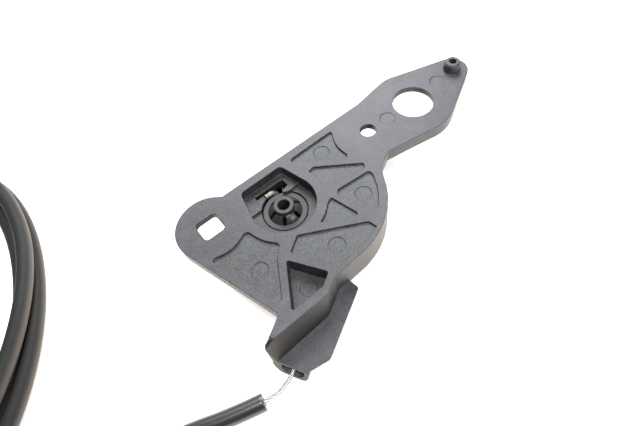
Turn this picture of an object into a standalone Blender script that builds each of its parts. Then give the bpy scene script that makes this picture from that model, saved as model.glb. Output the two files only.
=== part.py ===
"""Hood release cable: a moulded bracket, its release lever on a snap-in pivot, a return spring and a
Bowden cable that ends in a latch fitting.

The lever's pivot axis is the world Z axis. The bracket lies as it does on a bench, cored front face down,
on the plane z = 0, and its long straight edge runs along X.
"""

import math

import bmesh
import bpy
from mathutils import Matrix, Vector

MM = 0.001
ARC_STEP = 9.0
GAP = 0.3

# Levels above the bench, in millimetres
PLATE_TOP = 18.0
PLATE_THICK = 2.6
RIM_DEEP = 5.5
SKIRT_DEEP = 13.0
WALL = 2.0
EDGE_CHAMFER = 0.35
RIM_LOW = PLATE_TOP - RIM_DEEP
SKIRT_LOW = PLATE_TOP - SKIRT_DEEP
CORE_TOP = PLATE_TOP - PLATE_THICK

# Mounting lug with its square hole
LUG = (-24.85, 9.7)
LUG_RADIUS = 12.6
SQUARE_HOLE = 8.2
SQUARE_HOLE_FILLET = 1.5

# Straight edges of the plate
BACK_EDGE_Y = 17.2
LOWER_EDGE_Y = -36.8

# Left wall of the spring chamber, clear of the lug's square hole
CHAMBER_LEFT_X = -15.5

# Body arc round the spring chamber
BODY = (6.0, -3.0)
BODY_RADIUS = 30.4

# Arm: a round eye for the large hole and a round tip for the locating pin
EYE = (66.75, 3.1)
EYE_RADIUS = 16.3
LARGE_HOLE = (66.75, 2.65)
LARGE_HOLE_RADIUS = 8.0
SMALL_HOLE = (44.15, 4.0)
SMALL_HOLE_RADIUS = 3.05
TIP = (90.9, 4.6)
TIP_RADIUS = 6.6
PIN_RADIUS = 3.45
PIN_HIGH = 4.0
PIN_CHAMFER = 0.8
PIN_BORE_RADIUS = 1.45
PIN_BORE_DEEP = 5.0

# Pockets in the back face
POCKET_DEEP = 0.9
DEEP_POCKET_DEEP = 6.5
RIM_WIDTH = 3.3
HUB_RING_RADIUS = 15.9
MARK_RADIUS = 3.0
MARK_DEEP = 0.3

# Hub pocket and its floor
HUB_POCKET_RADIUS = 12.0
HUB_POCKET_DEEP = 5.0
SHELF_DEEP = 4.0
SHELF_Y = 5.4
SEAT_DEEP = 6.3
FLOOR_THICK = 1.8
FLOOR_Z = PLATE_TOP - HUB_POCKET_DEEP
SHELF_Z = PLATE_TOP - SHELF_DEEP
SEAT_Z = PLATE_TOP - SEAT_DEEP
FLOOR_LOW = SEAT_Z - FLOOR_THICK

# Snap-in pivot hub
HUB_FLANGE_RADIUS = 8.2
HUB_FLANGE_THICK = 0.8
HUB_BARREL_RADIUS = 5.5
HUB_BARREL_WALL = 1.0
HUB_TUBE_RADIUS = 3.75
HUB_BORE_RADIUS = 2.15
HUB_TUBE_TOP = PLATE_TOP - 1.2
HUB_FINGERS = 6
HUB_SLOT = 1.3
HUB_SLOT_TURN = 52.0

# Release lever
LEVER_LOW = 0.7
LEVER_THICK = 4.0
LEVER_TOP = LEVER_LOW + LEVER_THICK
LEVER_BARREL_WALL = 1.5
LEVER_HUB_RADIUS = 17.5
LEVER_TRAVEL = 50.0
SECTOR_LIP = 0.9
SECTOR_END = -14.0
NIPPLE_ANGLE = -24.0
NIPPLE_RADIUS = 2.0
NIPPLE_LONG = 3.2
BLADE_LOW_Y = 1.6
BLADE_HIGH_Y = 8.4
BLADE_REACH = 68.0
GRIP_LIP = (36.0, 59.0)
GRIP_LIP_WALL = 2.2
GRIP_LIP_TOP = 11.4

# Return spring
SPRING_WIRE = 2.2
SPRING_CLEARANCE = 0.7
SPRING_RADIUS = HUB_BARREL_RADIUS + GAP + LEVER_BARREL_WALL + SPRING_CLEARANCE + SPRING_WIRE / 2
SPRING_TURNS = 1.45

# Cable
WIRE = 1.5
SHEATH = 5.7
CABLE_ANGLE = 28.1
MOUTH = (-31.3, -43.6)
TUNNEL_HALF = 3.9
TUNNEL_RIGHT_WALL = 1.4
TUNNEL_LEFT_WALL = 3.4
TUNNEL_FAR_WALL = 1.1
TUNNEL_LONG = 24.0
TUNNEL_FLOOR = 1.2
MOUTH_AHEAD = 0.5
MOUTH_SLANT = 0.3
FLANGE_THICK = 1.4

WIRE_Z = SHEATH / 2
_ALONG = (math.cos(math.radians(CABLE_ANGLE)), math.sin(math.radians(CABLE_ANGLE)))
CABLE_RADIUS = abs(MOUTH[0] * _ALONG[1] - MOUTH[1] * _ALONG[0])

# Route of the sheath from its bracket end to the coil, along the bench
LEAD_ROUTE = [
    (-44.3, -45.3),
    (-50.5, -43.5),
    (-57.5, -41.2),
    (-66.0, -38.0),
    (-76.0, -34.8),
    (-88.0, -31.6),
    (-100.5, -28.7),
    (-113.0, -25.9),
    (-125.3, -23.1),
    (-137.5, -20.4),
]
# The oval coil, with half its width and half its length at the middle of its turns
COIL_CENTRE = (-134.0, 58.0)
COIL_TURN = -20.0
COIL_HALF_WIDE = 46.3
COIL_HALF_LONG = 74.3
COIL_LAYERS = 2
COIL_ROWS = 2
COIL_LIFT = 1.6
# Route of the sheath inside the coil up to its end fitting, from the coil's centre and along its length
TAIL_ROUTE = [
    (8.4, -63.4, 4.3),
    (0.5, -65.0, 4.2),
    (-7.9, -63.1, 4.2),
    (-14.8, -57.9, 4.4),
    (-18.5, -51.2, 4.8),
    (-19.5, -45.0, 5.3),
    (-19.5, -39.0, 5.6),
    (-19.5, -33.0, 5.6),
]
TIE_WIDTH = 4.6
TIE_THICK = 1.2

# Latch end
CONNECTOR_LONG = 31.0
CONNECTOR_RADIUS = 5.6
LATCH_WIRE_OUT = 31.0


def at_mouth(along, side):
    """A place measured from the cable tunnel's mouth, along its axis and to its left."""
    return (
        MOUTH[0] + along * _ALONG[0] - side * _ALONG[1],
        MOUTH[1] + along * _ALONG[1] + side * _ALONG[0],
    )


def polar(radius, degrees, centre=(0.0, 0.0)):
    angle = math.radians(degrees)
    return (centre[0] + radius * math.cos(angle), centre[1] + radius * math.sin(angle))


def arc(centre, radius, start, end):
    """Corners along an arc, each with no fillet of its own."""
    steps = max(2, round(abs(end - start) / ARC_STEP))
    return [(*polar(radius, start + (end - start) * i / steps, centre), 0.0) for i in range(steps + 1)]


def rounded(corners):
    """The outline through corners given as (x, y, fillet radius)."""
    outline = []
    count = len(corners)
    for i, (x, y, radius) in enumerate(corners):
        here = Vector((x, y))
        if not radius:
            outline.append(here)
            continue
        back = (Vector(corners[i - 1][:2]) - here).normalized()
        ahead = (Vector(corners[(i + 1) % count][:2]) - here).normalized()
        half = math.acos(max(-1.0, min(1.0, back.dot(ahead)))) / 2
        centre = here + (back + ahead).normalized() * radius / math.sin(half)
        first = here + back * radius / math.tan(half) - centre
        sweep = math.pi - 2 * half
        if back.x * ahead.y - back.y * ahead.x > 0:
            sweep = -sweep
        steps = max(2, round(abs(math.degrees(sweep)) / (2 * ARC_STEP)))
        for k in range(steps + 1):
            turn = sweep * k / steps
            cos, sin = math.cos(turn), math.sin(turn)
            outline.append(centre + Vector((first.x * cos - first.y * sin, first.x * sin + first.y * cos)))
    return outline


def clear_scene():
    for obj in list(bpy.data.objects):
        bpy.data.objects.remove(obj, do_unlink=True)


def material(name, colour, roughness, metallic=0.0):
    made = bpy.data.materials.new(name)
    made.use_nodes = True
    shader = made.node_tree.nodes["Principled BSDF"]
    shader.inputs["Base Color"].default_value = (*colour, 1.0)
    shader.inputs["Roughness"].default_value = roughness
    shader.inputs["Metallic"].default_value = metallic
    return made


def object_from(name, shape, finish=None, smooth=True):
    """Ends a bmesh given in millimetres as an object in metres."""
    bmesh.ops.recalc_face_normals(shape, faces=shape.faces)
    bmesh.ops.scale(shape, vec=(MM, MM, MM), verts=shape.verts)
    mesh = bpy.data.meshes.new(name)
    shape.to_mesh(mesh)
    shape.free()
    if smooth:
        mesh.shade_smooth()
        mesh.set_sharp_from_angle(angle=math.radians(30))
    made = bpy.data.objects.new(name, mesh)
    bpy.context.scene.collection.objects.link(made)
    if finish:
        mesh.materials.append(finish)
    else:
        made.hide_render = True
        made.display_type = "WIRE"
    return made


def loft(name, rings, finish=None, chamfer=0.0):
    """A solid through rings of equal count, each a list of (x, y, z), with flat ends."""
    shape = bmesh.new()
    levels = [[shape.verts.new(point) for point in ring] for ring in rings]
    for low, high in zip(levels, levels[1:]):
        for i, corner in enumerate(low):
            j = (i + 1) % len(low)
            shape.faces.new((corner, low[j], high[j], high[i]))
    bmesh.ops.connect_verts_nonplanar(shape, angle_limit=1e-5, faces=list(shape.faces))
    shape.faces.new(levels[0])
    top = shape.faces.new(levels[-1])
    if chamfer:
        bmesh.ops.bevel(shape, geom=list(top.edges), offset=chamfer, segments=1, affect="EDGES")
    return object_from(name, shape, finish)


def prism(name, outline, low, high, finish=None, chamfer=0.0):
    rings = [[(x, y, z) for x, y in outline] for z in (low, high)]
    return loft(name, rings, finish, chamfer)


def hoop(name, loops, finish=None, place=None):
    """A closed band through loops of equal count, the last joined to the first."""
    shape = bmesh.new()
    rows = [[shape.verts.new(point) for point in loop] for loop in loops]
    for row, after in zip(rows, rows[1:] + rows[:1]):
        for i, corner in enumerate(row):
            j = (i + 1) % len(row)
            shape.faces.new((corner, row[j], after[j], after[i]))
    if place:
        bmesh.ops.transform(shape, matrix=place, verts=shape.verts)
    return object_from(name, shape, finish)


def turned(name, profile, finish=None, steps=48, place=None):
    """A closed profile of (radius, height) points turned about the Z axis, or about a placed one."""
    loops = [[(*polar(r, 360 * k / steps), z) for k in range(steps)] for r, z in profile]
    return hoop(name, loops, finish, place)


def stack(name, centre, levels, finish=None, steps=32):
    """A solid round a vertical axis through levels given as (radius, height)."""
    rings = [
        [(*polar(radius, 360 * k / steps, centre), z) for k in range(steps)] for radius, z in levels
    ]
    return loft(name, rings, finish)


def disc(name, centre, radius, low, high, finish=None, steps=32):
    return stack(name, centre, [(radius, low), (radius, high)], finish, steps)


def rod(name, points, radius, finish, resolution=2):
    """A round wire or tube along points in millimetres."""
    curve = bpy.data.curves.new(name, "CURVE")
    curve.dimensions = "3D"
    curve.bevel_depth = radius * MM
    curve.bevel_resolution = resolution
    curve.use_fill_caps = True
    line = curve.splines.new("POLY")
    line.points.add(len(points) - 1)
    for target, point in zip(line.points, points):
        target.co = (*(value * MM for value in point), 1.0)
    curve.materials.append(finish)
    made = bpy.data.objects.new(name, curve)
    bpy.context.scene.collection.objects.link(made)
    return made


def smooth_route(route, spacing):
    """Evenly spaced points on the Catmull-Rom curve through a route."""
    ends = [route[0], *route, route[-1]]
    fine = []
    for before, start, end, after in zip(ends, ends[1:], ends[2:], ends[3:]):
        b, s, e, a = (Vector(point) for point in (before, start, end, after))
        for k in range(24):
            u = k / 24
            fine.append(
                0.5 * (2 * s + (e - b) * u + (2 * b - 5 * s + 4 * e - a) * u**2 + (3 * s - b - 3 * e + a) * u**3)
            )
    fine.append(Vector(route[-1]))
    lengths = [0.0]
    for first, second in zip(fine, fine[1:]):
        lengths.append(lengths[-1] + (second - first).length)
    count = max(2, round(lengths[-1] / spacing))
    points = []
    i = 0
    for k in range(count + 1):
        wanted = lengths[-1] * k / count
        while i < len(fine) - 2 and lengths[i + 1] < wanted:
            i += 1
        share = (wanted - lengths[i]) / (lengths[i + 1] - lengths[i])
        points.append(fine[i].lerp(fine[i + 1], min(1.0, share)))
    return points


def boolean(target, other, operation):
    modifier = target.modifiers.new(f"{operation.lower()}_{other.name}"[:60], "BOOLEAN")
    modifier.operation = operation
    modifier.solver = "EXACT"
    modifier.object = other


def cut(target, *cutters):
    for cutter in cutters:
        boolean(target, cutter, "DIFFERENCE")


def join(target, *others):
    for other in others:
        boolean(target, other, "UNION")


def plate_outline():
    """The bracket's outline, anticlockwise from where the lug meets the straight back edge."""
    run = Vector(TIP) - Vector(EYE)
    lean = math.degrees(math.atan2(run.y, run.x))
    open_angle = math.degrees(math.acos((EYE_RADIUS - TIP_RADIUS) / run.length))
    return rounded(
        [
            *arc(LUG, LUG_RADIUS, 36.5, 196.6),
            (-25.4, -31.9, 0.8),
            (-32.4, -36.0, 0.6),
            (-31.1, LOWER_EDGE_Y, 0.6),
            (-10.0, LOWER_EDGE_Y, 2.5),
            (-4.8, -34.0, 1.5),
            *arc(BODY, BODY_RADIUS, -92, -24),
            (35.4, -12.3, 2.0),
            (42.4, -8.7, 1.2),
            *arc(EYE, EYE_RADIUS, -100, lean - open_angle),
            *arc(TIP, TIP_RADIUS, lean - open_angle, lean + open_angle)[1:],
            *arc(EYE, EYE_RADIUS, lean + open_angle, 98.5)[1:],
            (50.5, BACK_EDGE_Y, 14.0),
        ]
    )


def hub_pocket_outline(grow=0.0):
    radius = HUB_POCKET_RADIUS + grow
    high = BACK_EDGE_Y - RIM_WIDTH + grow
    return rounded(
        [
            *arc((0.0, 0.0), radius, 174, 366),
            (8.9 + grow, high, 1.8 + grow),
            (-9.0 - grow, high, 2.0 + grow),
        ]
    )


def deep_pocket_outline(grow=0.0):
    """The deep triangular core between the body's lower edge and the rib beside it."""
    low = LOWER_EDGE_Y + 3.0
    return rounded(
        [
            (-21.9 - 2 * grow, low - grow, 0.7 + grow),
            (-9.7 + grow / 2, low - grow, 1.5 + grow),
            (-4.9 + grow, -31.1 - grow / 2, 0.9 + grow),
            (-12.6, -18.7 + 2 * grow, 0.6 + grow),
        ]
    )


def chamber_cutter():
    """What is hollow under the plate inside the skirt: all but the hub floor and the deep pocket's floor."""
    outline = rounded(
        [
            (CHAMBER_LEFT_X, -13.5, 3.0),
            (CHAMBER_LEFT_X - 1.0, -21.0, 2.0),
            (-11.0, -30.6, 2.0),
            *arc(BODY, BODY_RADIUS - WALL, -92, -26),
            *arc((0.0, 0.0), 33.6, -20, 24),
            (29.0, BACK_EDGE_Y - WALL, 2.0),
            (CHAMBER_LEFT_X, BACK_EDGE_Y - WALL, 2.0),
        ]
    )
    hollow = prism("chamber_cutter", outline, SKIRT_LOW - 1.0, CORE_TOP)
    floor = prism("hub_floor_form", hub_pocket_outline(FLOOR_THICK), FLOOR_LOW, PLATE_TOP)
    deep = prism(
        "deep_floor_form", deep_pocket_outline(1.5), PLATE_TOP - DEEP_POCKET_DEEP - 1.5, PLATE_TOP
    )
    cut(hollow, floor, deep)
    return hollow


def arm_core_cutter():
    """The cored front of the arm, inside its rim."""
    outline = rounded(
        [
            (39.5, -7.4, 1.0),
            (43.0, -6.7, 1.0),
            *arc(EYE, EYE_RADIUS - WALL, -100, -62.8),
            *arc(TIP, TIP_RADIUS - WALL, -62.8, -40)[1:],
            (87.0, 4.6, 2.0),
            *arc(TIP, TIP_RADIUS - WALL, 50, 69.9),
            *arc(EYE, EYE_RADIUS - WALL, 69.9, 98.5)[1:],
            (50.6, BACK_EDGE_Y - WALL, 12.0),
            (39.5, BACK_EDGE_Y - WALL, 1.5),
        ]
    )
    return prism("arm_core_cutter", outline, RIM_LOW - 1.0, CORE_TOP)


def lug_core_cutter():
    """The cored front of the lug and of the plate's left side, inside its rim."""
    outline = rounded(
        [
            *arc(LUG, LUG_RADIUS - WALL, 50, 190),
            (-24.6, -28.0, 2.0),
            (CHAMBER_LEFT_X - WALL - 2.0, -22.0, 2.0),
            (CHAMBER_LEFT_X - WALL - 1.0, -14.0, 3.0),
            (CHAMBER_LEFT_X - WALL - 1.0, BACK_EDGE_Y - WALL, 1.5),
        ]
    )
    return prism("lug_core_cutter", outline, RIM_LOW - 1.0, CORE_TOP)


def relief_cutters():
    """What leaves the lug side and the arm only as deep as their rim."""
    far = 60.0
    left = rounded(
        [
            (CHAMBER_LEFT_X - WALL, far, 0.0),
            (CHAMBER_LEFT_X - WALL, -14.0, 0.0),
            (CHAMBER_LEFT_X - WALL - 1.0, -22.0, 0.0),
            (-23.8, -30.2, 0.0),
            (-30.0, -33.2, 0.0),
            (-far, -30.0, 0.0),
            (-far, far, 0.0),
        ]
    )
    right = rounded(
        [
            (40.5, -30.0, 0.0),
            (2 * far, -30.0, 0.0),
            (2 * far, far, 0.0),
            (23.0, far, 0.0),
            *arc((0.0, 0.0), 35.6, 40, -14),
            (35.3, -10.6, 0.0),
            (40.5, -11.6, 0.0),
        ]
    )
    return [
        prism("left_relief_cutter", left, -1.0, RIM_LOW),
        prism("arm_relief_cutter", right, -1.0, RIM_LOW),
    ]


def pocket_cutters():
    """The shallow pockets of the back face, one list of corners each."""
    inner = BACK_EDGE_Y - RIM_WIDTH
    ring = ((0.0, 0.0), HUB_RING_RADIUS)
    shapes = {
        "lug_side": [
            (-31.9, -1.4, 1.2),
            *arc(LUG, LUG_RADIUS, -112, -64),
            (-16.25, -0.1, 1.5),
            *arc(*ring, 192, 224),
            (-10.4, -12.0, 1.3),
            (-14.4, -16.0, 3.0),
            (-22.3, -29.4, 0.8),
            (-24.9, -26.3, 1.0),
        ],
        "back": [
            (13.0, inner - 1.2, 0.8),
            (29.4, -0.6, 0.8),
            *arc(SMALL_HOLE, 13.8, 193, 145),
            (33.7, inner - 0.2, 0.6),
            (14.3, inner - 0.2, 0.8),
        ],
        "sliver": [
            *arc(*ring, -19, 17),
            (17.8, 4.9, 0.6),
            (32.5, -6.5, 1.0),
            (30.9, -8.5, 1.0),
        ],
        "right": [
            (16.2, -8.8, 1.6),
            (20.4, -23.3, 1.0),
            *arc(BODY, BODY_RADIUS - RIM_WIDTH, -50, -22),
            (31.9, -10.4, 1.4),
        ],
        "small": [
            (4.4, -15.1, 0.4),
            (17.0, -22.6, 1.0),
            (13.9, -9.8, 0.5),
            *arc(*ring, -44, -68),
        ],
        "lower": [
            (-9.9, -17.4, 0.8),
            (-0.9, -31.9, 0.6),
            *arc(BODY, BODY_RADIUS - 1.7, -90, -66),
            (17.0, -26.0, 1.4),
            (-4.2, -13.8, 0.8),
        ],
    }
    floor = PLATE_TOP - POCKET_DEEP
    return [prism(f"{name}_pocket_cutter", rounded(s), floor, PLATE_TOP + 1) for name, s in shapes.items()]


def mark_cutters():
    """Shallow discs that the mould's ejector pins leave."""
    pocket = PLATE_TOP - POCKET_DEEP
    places = [
        (81.85, 3.9, PLATE_TOP),
        (53.65, 3.3, PLATE_TOP),
        (24.75, 8.8, pocket),
        (23.75, -15.9, pocket),
        (3.55, -25.2, pocket),
        (-21.15, -15.4, pocket),
        (-12.1, -28.6, PLATE_TOP - DEEP_POCKET_DEEP),
    ]
    return [
        disc(f"ejector_mark_cutter_{i}", (x, y), MARK_RADIUS, z - MARK_DEEP, z + 0.5, steps=28)
        for i, (x, y, z) in enumerate(places)
    ]


def square_hole_cutter():
    half = SQUARE_HOLE / 2
    x, y = LUG
    corners = [(x - half, y - half), (x + half, y - half), (x + half, y + half), (x - half, y + half)]
    outline = rounded([(*corner, SQUARE_HOLE_FILLET) for corner in corners])
    return prism("square_hole_cutter", outline, RIM_LOW - 1.0, PLATE_TOP + 1.0)


def window_cutter():
    """The stepped slot through the shelf, which the spring's hook stands in."""
    outline = rounded(
        [
            (-5.4, 10.1, 0.0),
            (-2.5, 10.1, 0.0),
            (-2.5, 7.0, 0.0),
            (3.9, 6.4, 0.0),
            (4.6, 7.5, 0.0),
            (7.2, 7.8, 0.0),
            (7.2, 11.0, 0.3),
            (4.9, 11.4, 0.0),
            (-5.4, 11.4, 0.0),
        ]
    )
    return prism("window_cutter", outline, FLOOR_LOW - 1.0, SHELF_Z + 1.0)


def shelf_form():
    """The raised half of the hub pocket's floor."""
    side = HUB_POCKET_RADIUS + 1.2
    outline = rounded(
        [
            (-side + 0.6, SHELF_Y, 0.0),
            (side - 0.6, SHELF_Y, 0.0),
            (10.0, BACK_EDGE_Y - RIM_WIDTH + 1.2, 1.5),
            (-10.2, BACK_EDGE_Y - RIM_WIDTH + 1.2, 1.5),
        ]
    )
    return prism("shelf_form", outline, FLOOR_LOW + 0.2, SHELF_Z)


def tongue_form():
    """The tab beside the window that holds the hub's flange down."""
    outline = rounded(
        [
            (4.2, 7.4, 0.0),
            (3.6, 6.3, 0.5),
            (5.9, SHELF_Y - 0.15, 0.8),
            (9.6, SHELF_Y + 0.05, 0.0),
            (9.9, 8.4, 0.0),
            (7.0, 7.9, 0.0),
        ]
    )
    return prism("tongue_form", outline, SEAT_Z + GAP + HUB_FLANGE_THICK + GAP, SHELF_Z - 0.02)


def tunnel_ring(along, left, right, low, high, fillets):
    """A section of the cable tunnel, cut on the slant of its mouth. It is flat on top and round below."""
    outline = rounded([(left, high, 0.0), (left, low, fillets[0]), (-right, low, fillets[1]), (-right, high, 0.0)])
    ring = []
    for side, z in outline:
        ring.append((*at_mouth(along - (SKIRT_LOW - z) * MOUTH_SLANT, side), z))
    return ring


def housing_forms():
    """The cable housing: a drafted block under the plate's corner, a flange and the tunnel below it."""
    flange_top = SKIRT_LOW + FLANGE_THICK
    left = TUNNEL_HALF + TUNNEL_LEFT_WALL
    right = TUNNEL_HALF + TUNNEL_RIGHT_WALL
    far = TUNNEL_HALF + TUNNEL_FAR_WALL
    high = [(-26.4, -32.3), (-32.2, -35.9), (-31.1, -36.7), (-10.1, -36.7), (-5.0, -33.9), (-8.0, -27.5)]
    middle = [(-26.7, -32.0), (-34.3, -35.9), (-35.0, -37.1), (-10.6, -37.1), (-4.9, -34.0), (-8.0, -27.5)]
    low = [
        (-27.6, -30.7),
        at_mouth(-MOUTH_AHEAD, left),
        at_mouth(-MOUTH_AHEAD, left - 2.6),
        (-12.8, -38.9),
        (-4.4, -34.4),
        (-8.0, -27.5),
    ]
    back = [(-19.0, -27.5)]
    levels = [(low, SKIRT_LOW), (middle, PLATE_TOP - 2.3), (high, PLATE_TOP - EDGE_CHAMFER)]
    block = loft("housing_block_form", [[(x, y, z) for x, y in ring + back] for ring, z in levels])
    flange = rounded(
        [
            (*at_mouth(-0.3, TUNNEL_HALF + 1.9), 0.0),
            (*at_mouth(-0.3, -right + 0.3), 0.5),
            (-28.0, -48.2, 0.5),
            (-21.1, -49.5, 1.0),
            (-18.9, -48.5, 0.5),
            (1.6, -37.6, 0.8),
            (1.1, -33.9, 0.0),
            (1.1, -33.0, 0.0),
            (-20.0, -30.0, 0.0),
            (-31.0, -36.2, 0.0),
        ]
    )
    top = SKIRT_LOW + 0.7
    tunnel = [
        tunnel_ring(-MOUTH_AHEAD, left, right, 0.0, top, (4.6, 2.8)),
        tunnel_ring(TUNNEL_LONG, far, far, 0.0, top, (2.8, 2.8)),
    ]
    return [block, prism("flange_form", flange, SKIRT_LOW, flange_top), loft("tunnel_form", tunnel)]


def tunnel_cutter():
    """The cable's way under the flange, open at the mouth."""
    sections = [
        tunnel_ring(along, TUNNEL_HALF, TUNNEL_HALF, TUNNEL_FLOOR, SKIRT_LOW, (2.6, 2.6))
        for along in (-4.0, TUNNEL_LONG + 3.0)
    ]
    return loft("tunnel_cutter", sections)


def make_bracket(finish):
    bracket = prism("bracket", plate_outline(), SKIRT_LOW, PLATE_TOP, finish, EDGE_CHAMFER)
    cut(bracket, *relief_cutters(), arm_core_cutter(), lug_core_cutter())
    join(bracket, *housing_forms())
    cut(bracket, chamber_cutter())
    pocket = prism("hub_pocket_cutter", hub_pocket_outline(), FLOOR_Z, PLATE_TOP + 1.0)
    cut(bracket, pocket)
    join(bracket, shelf_form())
    hub_hole = HUB_BARREL_RADIUS + GAP
    seat = HUB_FLANGE_RADIUS + GAP
    cut(
        bracket,
        window_cutter(),
        disc("flange_seat_cutter", (0.0, 0.0), seat, SEAT_Z, PLATE_TOP, steps=60),
        disc("barrel_hole_cutter", (0.0, 0.0), hub_hole, 0.0, SEAT_Z + 1.0, steps=40),
    )
    join(bracket, tongue_form())
    deep_floor = PLATE_TOP - DEEP_POCKET_DEEP
    deep = prism("deep_pocket_cutter", deep_pocket_outline(), deep_floor, PLATE_TOP + 1.0)
    cut(bracket, deep, *pocket_cutters(), *mark_cutters(), square_hole_cutter())
    low, high = RIM_LOW - 1.0, PLATE_TOP + 1.0
    cut(
        bracket,
        disc("large_hole_cutter", LARGE_HOLE, LARGE_HOLE_RADIUS, low, high, steps=48),
        disc("small_hole_cutter", SMALL_HOLE, SMALL_HOLE_RADIUS, low, high),
    )
    top = PLATE_TOP + PIN_HIGH
    pin_levels = [
        (PIN_RADIUS, PLATE_TOP - 1.5),
        (PIN_RADIUS - 0.15, top - PIN_CHAMFER),
        (PIN_RADIUS - PIN_CHAMFER, top),
    ]
    join(bracket, stack("locating_pin_form", TIP, pin_levels))
    cut(bracket, disc("pin_bore_cutter", TIP, PIN_BORE_RADIUS, top - PIN_BORE_DEEP, top + 1.0, steps=20))
    cut(bracket, tunnel_cutter())
    return bracket


def make_hub(finish):
    """The six-fingered snap hub: a flange, a domed web cut into fingers and a bored tube."""
    low = SKIRT_LOW + 0.4
    flange = SEAT_Z + GAP
    top = flange + HUB_FLANGE_THICK
    outer = HUB_BARREL_RADIUS
    inner = outer - HUB_BARREL_WALL
    tube = HUB_TUBE_RADIUS
    hub = turned(
        "pivot_hub",
        [
            (HUB_BORE_RADIUS, low),
            (tube - 0.45, low),
            (tube - 0.45, top + 1.0),
            (inner, top - 0.1),
            (inner, low),
            (outer, low),
            (outer, flange),
            (HUB_FLANGE_RADIUS, flange),
            (HUB_FLANGE_RADIUS, top - 0.2),
            (HUB_FLANGE_RADIUS - 0.2, top),
            (outer + 0.8, top),
            (outer + 0.3, top + 0.7),
            (outer - 0.5, top + 1.5),
            (tube + 0.5, top + 2.1),
            (tube, top + 2.2),
            (tube, HUB_TUBE_TOP - 0.2),
            (tube - 0.2, HUB_TUBE_TOP),
            (HUB_BORE_RADIUS + 0.2, HUB_TUBE_TOP),
            (HUB_BORE_RADIUS, HUB_TUBE_TOP - 0.2),
        ],
        finish=finish,
        steps=60,
    )
    for k in range(HUB_FINGERS):
        turn = 360 / HUB_FINGERS * k + HUB_SLOT_TURN
        side = HUB_SLOT / 2
        start, end = tube + 0.02, outer + 0.75
        corners = [(start, -side), (end, -side), (end, side), (start, side)]
        angle = math.radians(turn)
        outline = [
            (x * math.cos(angle) - y * math.sin(angle), x * math.sin(angle) + y * math.cos(angle))
            for x, y in corners
        ]
        cut(hub, prism(f"finger_slot_cutter_{k}", outline, low + 1.8, top + 3.0))
    return hub


def lever_outline():
    rim = CABLE_RADIUS + SECTOR_LIP
    tail = CABLE_ANGLE - 90 - LEVER_TRAVEL - 5
    middle = (BLADE_LOW_Y + BLADE_HIGH_Y) / 2
    return rounded(
        [
            *arc((0.0, 0.0), rim, tail, SECTOR_END),
            (26.6, BLADE_LOW_Y - 1.4, 3.0),
            (34.0, BLADE_LOW_Y, 6.0),
            *arc((BLADE_REACH - 3.4, middle), 3.4, -90, 90),
            (21.0, BLADE_HIGH_Y, 5.0),
            *arc((0.0, 0.0), LEVER_HUB_RADIUS, 68, 235),
        ]
    )


def make_lever(finish):
    """The release lever: a grooved sector for the wire, a barrel for the hub and a finger blade."""
    bore = HUB_BARREL_RADIUS + GAP
    barrel = bore + LEVER_BARREL_WALL
    barrel_top = FLOOR_LOW - GAP
    lever = prism("release_lever", lever_outline(), LEVER_LOW, LEVER_TOP, finish, 0.4)
    join(lever, disc("barrel_form", (0.0, 0.0), barrel, 0.0, barrel_top, steps=48))
    lip_low, lip_high = GRIP_LIP
    lip = rounded(
        [
            (lip_low, BLADE_LOW_Y + 0.05, 1.0),
            (lip_high, BLADE_LOW_Y + 0.05, 1.0),
            (lip_high, BLADE_LOW_Y + GRIP_LIP_WALL, 1.0),
            (lip_low, BLADE_LOW_Y + GRIP_LIP_WALL, 1.0),
        ]
    )
    join(lever, prism("grip_lip_form", lip, LEVER_LOW + 0.5, GRIP_LIP_TOP, chamfer=0.5))
    cut(lever, disc("barrel_bore_cutter", (0.0, 0.0), bore, 1.6, barrel_top + 1.0, steps=48))
    groove_bottom = CABLE_RADIUS - WIRE / 2 - GAP
    half = WIRE / 2 + GAP
    rim = CABLE_RADIUS + SECTOR_LIP + 1.0
    groove = turned(
        "wire_groove_cutter",
        [
            (groove_bottom, WIRE_Z - half * 0.6),
            (groove_bottom + 0.5, WIRE_Z - half),
            (rim, WIRE_Z - half - 0.1),
            (rim, WIRE_Z + half + 0.1),
            (groove_bottom + 0.5, WIRE_Z + half),
            (groove_bottom, WIRE_Z + half * 0.6),
        ],
        steps=80,
    )
    keep = prism(
        "groove_end_form",
        [(0.0, 0.0), *(polar(40.0, angle) for angle in (NIPPLE_ANGLE + 3, 20, 60, 100, 140)), (-30.0, 0.0)],
        -1.0,
        10.0,
    )
    cut(groove, keep)
    seat = polar(CABLE_RADIUS - 0.8, NIPPLE_ANGLE)
    nipple_low = WIRE_Z - NIPPLE_LONG / 2
    cut(lever, groove, disc("nipple_seat_cutter", seat, NIPPLE_RADIUS + GAP, nipple_low - GAP, 6.0, steps=20))
    for name, start, end in (("near", -112.0, -78.0), ("far", -68.0, -36.0)):
        outline = rounded([*arc((0.0, 0.0), 12.6, end, start), *arc((0.0, 0.0), 20.4, start, end)])
        cut(lever, prism(f"{name}_web_cutter", outline, LEVER_LOW + 1.6, LEVER_TOP + 1.0))
    return lever


def make_nipple(name, centre, middle, finish):
    low = middle - NIPPLE_LONG / 2
    levels = [
        (NIPPLE_RADIUS - 0.3, low),
        (NIPPLE_RADIUS, low + 0.3),
        (NIPPLE_RADIUS, low + NIPPLE_LONG - 0.3),
        (NIPPLE_RADIUS - 0.3, low + NIPPLE_LONG),
    ]
    return stack(name, centre, levels, finish, 24)


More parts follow.
